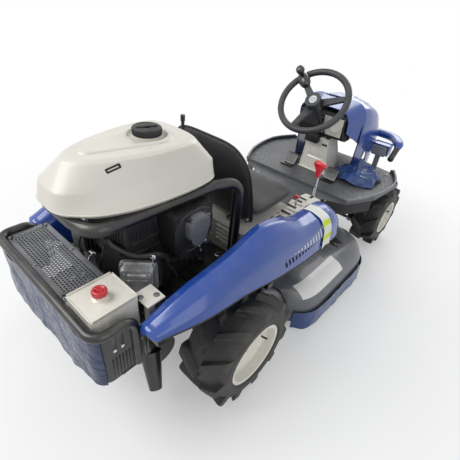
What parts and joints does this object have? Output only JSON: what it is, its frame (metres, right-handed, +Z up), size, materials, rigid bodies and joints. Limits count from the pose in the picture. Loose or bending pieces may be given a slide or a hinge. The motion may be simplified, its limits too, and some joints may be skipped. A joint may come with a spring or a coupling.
{
  "type": "ride-on mower",
  "caption": "Low ride-on mower with a rear twin-cylinder engine under a cream tank, a mid seat, a tilted steering wheel, lugged tyres and a lifting blade deck.",
  "frame": {"origin": "on the ground under the middle of the whole mower", "axes": "+X forward, +Y to the driver's left, +Z up"},
  "size_m": [2.059, 0.964, 0.9352],
  "materials": {
    "frame_black": "satin black paint",
    "body_blue": "glossy blue moulded plastic",
    "cream_paint": "gloss cream paint",
    "cream_plastic": "semi-gloss cream moulded plastic",
    "tyre_rubber": "dusty black tyre rubber",
    "rim_cream": "gloss cream paint",
    "black_plastic": "textured black plastic",
    "seat_vinyl": "black grained vinyl",
    "bare_steel": "machined and zinc-plated steel",
    "cast_alloy": "as-cast alloy",
    "engine_dark": "dark painted castings",
    "deck_grey": "dark grey paint with a metallic fleck",
    "red_plastic": "gloss red plastic",
    "dial_face": "cream gauge face behind a clear front",
    "lamp_grey": "grey plastic lamp body"
  },
  "bodies": {
    "chassis": {"frame_rails": "frame_black", "frame_members": "frame_black", "engine_bed": "frame_black", "hitch_plates": "frame_black", "rear_axle": "engine_dark", "front_axle": "frame_black", "deck_guides": "frame_black", "engine_block": "engine_dark", "rocker_cover": "cast_alloy", "air_cleaner": "black_plastic", "silencer": "frame_black", "fuel_tank": "cream_plastic", "fuel_cap": "black_plastic", "tank_tube": "frame_black", "rear_guard": "frame_black", "rear_screen": "deck_grey", "oil_box": "cream_paint", "oil_cap": "red_plastic", "cover_bracket": "cream_paint", "cover_left": "body_blue", "cover_right": "body_blue", "lever_console": "cream_paint", "lift_lever": "red_plastic", "seat_base": "cream_paint", "seat_rails": "bare_steel", "seat": "seat_vinyl", "seat_back": "seat_vinyl", "marker_post": "frame_black", "floor_pan": "black_plastic", "steering_column": "cream_paint", "dashboard": "black_plastic", "dial": "dial_face", "front_hood": "body_blue", "hood_nose": "body_blue", "front_bumper": "frame_black", "lamp_left": "lamp_grey", "lamp_right": "lamp_grey", "pedals": "frame_black"},
    "knuckle_left": {"knuckle_left": "engine_dark"},
    "knuckle_right": {"knuckle_right": "engine_dark"},
    "track_rod": {"track_rod": "bare_steel"},
    "steering_wheel": {"steering_wheel": "black_plastic", "steering_knob": "black_plastic"},
    "deck": {"deck_shell": "deck_grey", "deck_top": "deck_grey"},
    "blade": {"blade": "bare_steel", "blade_spindle": "bare_steel"},
    "wheel_rear_left": {"tyre_rear_left": "tyre_rubber", "rim_rear_left": "rim_cream"},
    "wheel_rear_right": {"tyre_rear_right": "tyre_rubber", "rim_rear_right": "rim_cream"},
    "wheel_front_left": {"tyre_front_left": "tyre_rubber", "rim_front_left": "rim_cream"},
    "wheel_front_right": {"tyre_front_right": "tyre_rubber", "rim_front_right": "rim_cream"}
  },
  "joints": [
    {"name": "rear_left_spin", "type": "hinge", "parent": "chassis", "child": "wheel_rear_left", "pos_m": [-0.57, 0.388, 0.206], "axis": [0, 1, 0], "continuous": true},
    {"name": "rear_right_spin", "type": "hinge", "parent": "chassis", "child": "wheel_rear_right", "pos_m": [-0.57, -0.388, 0.206], "axis": [0, 1, 0], "continuous": true},
    {"name": "steer_left", "type": "hinge", "parent": "chassis", "child": "knuckle_left", "pos_m": [0.72, 0.262, 0.18], "axis": [0, 0, 1], "range_deg": [-28, 28]},
    {"name": "steer_right", "type": "hinge", "parent": "chassis", "child": "knuckle_right", "pos_m": [0.72, -0.262, 0.18], "axis": [0, 0, 1], "range_deg": [-28, 28]},
    {"name": "front_left_spin", "type": "hinge", "parent": "knuckle_left", "child": "wheel_front_left", "pos_m": [0.72, 0.366, 0.18], "axis": [0, 1, 0], "continuous": true},
    {"name": "front_right_spin", "type": "hinge", "parent": "knuckle_right", "child": "wheel_front_right", "pos_m": [0.72, -0.366, 0.18], "axis": [0, 1, 0], "continuous": true},
    {"name": "rod_pivot", "type": "hinge", "parent": "knuckle_left", "child": "track_rod", "pos_m": [0.628, 0.262, 0.13], "axis": [0, 0, 1], "range_deg": [-28, 28]},
    {"name": "wheel_turn", "type": "hinge", "parent": "chassis", "child": "steering_wheel", "pos_m": [0.35, 0, 0.802], "axis": [-0.7071, 0, 0.7071], "range_deg": [-336, 336]},
    {"name": "deck_lift", "type": "slide", "parent": "chassis", "child": "deck", "axis": [0, 0, 1], "range_m": [-0.01, 0.07]},
    {"name": "blade_spin", "type": "hinge", "parent": "deck", "child": "blade", "pos_m": [0.08, 0, 0.062], "axis": [0, 0, 1], "continuous": true}
  ],
  "couplings": [
    {"joint": "steer_right", "follows": "steer_left", "ratio": 1},
    {"joint": "rod_pivot", "follows": "steer_left", "ratio": -1},
    {"joint": "wheel_turn", "follows": "steer_left", "ratio": 12}
  ]
}
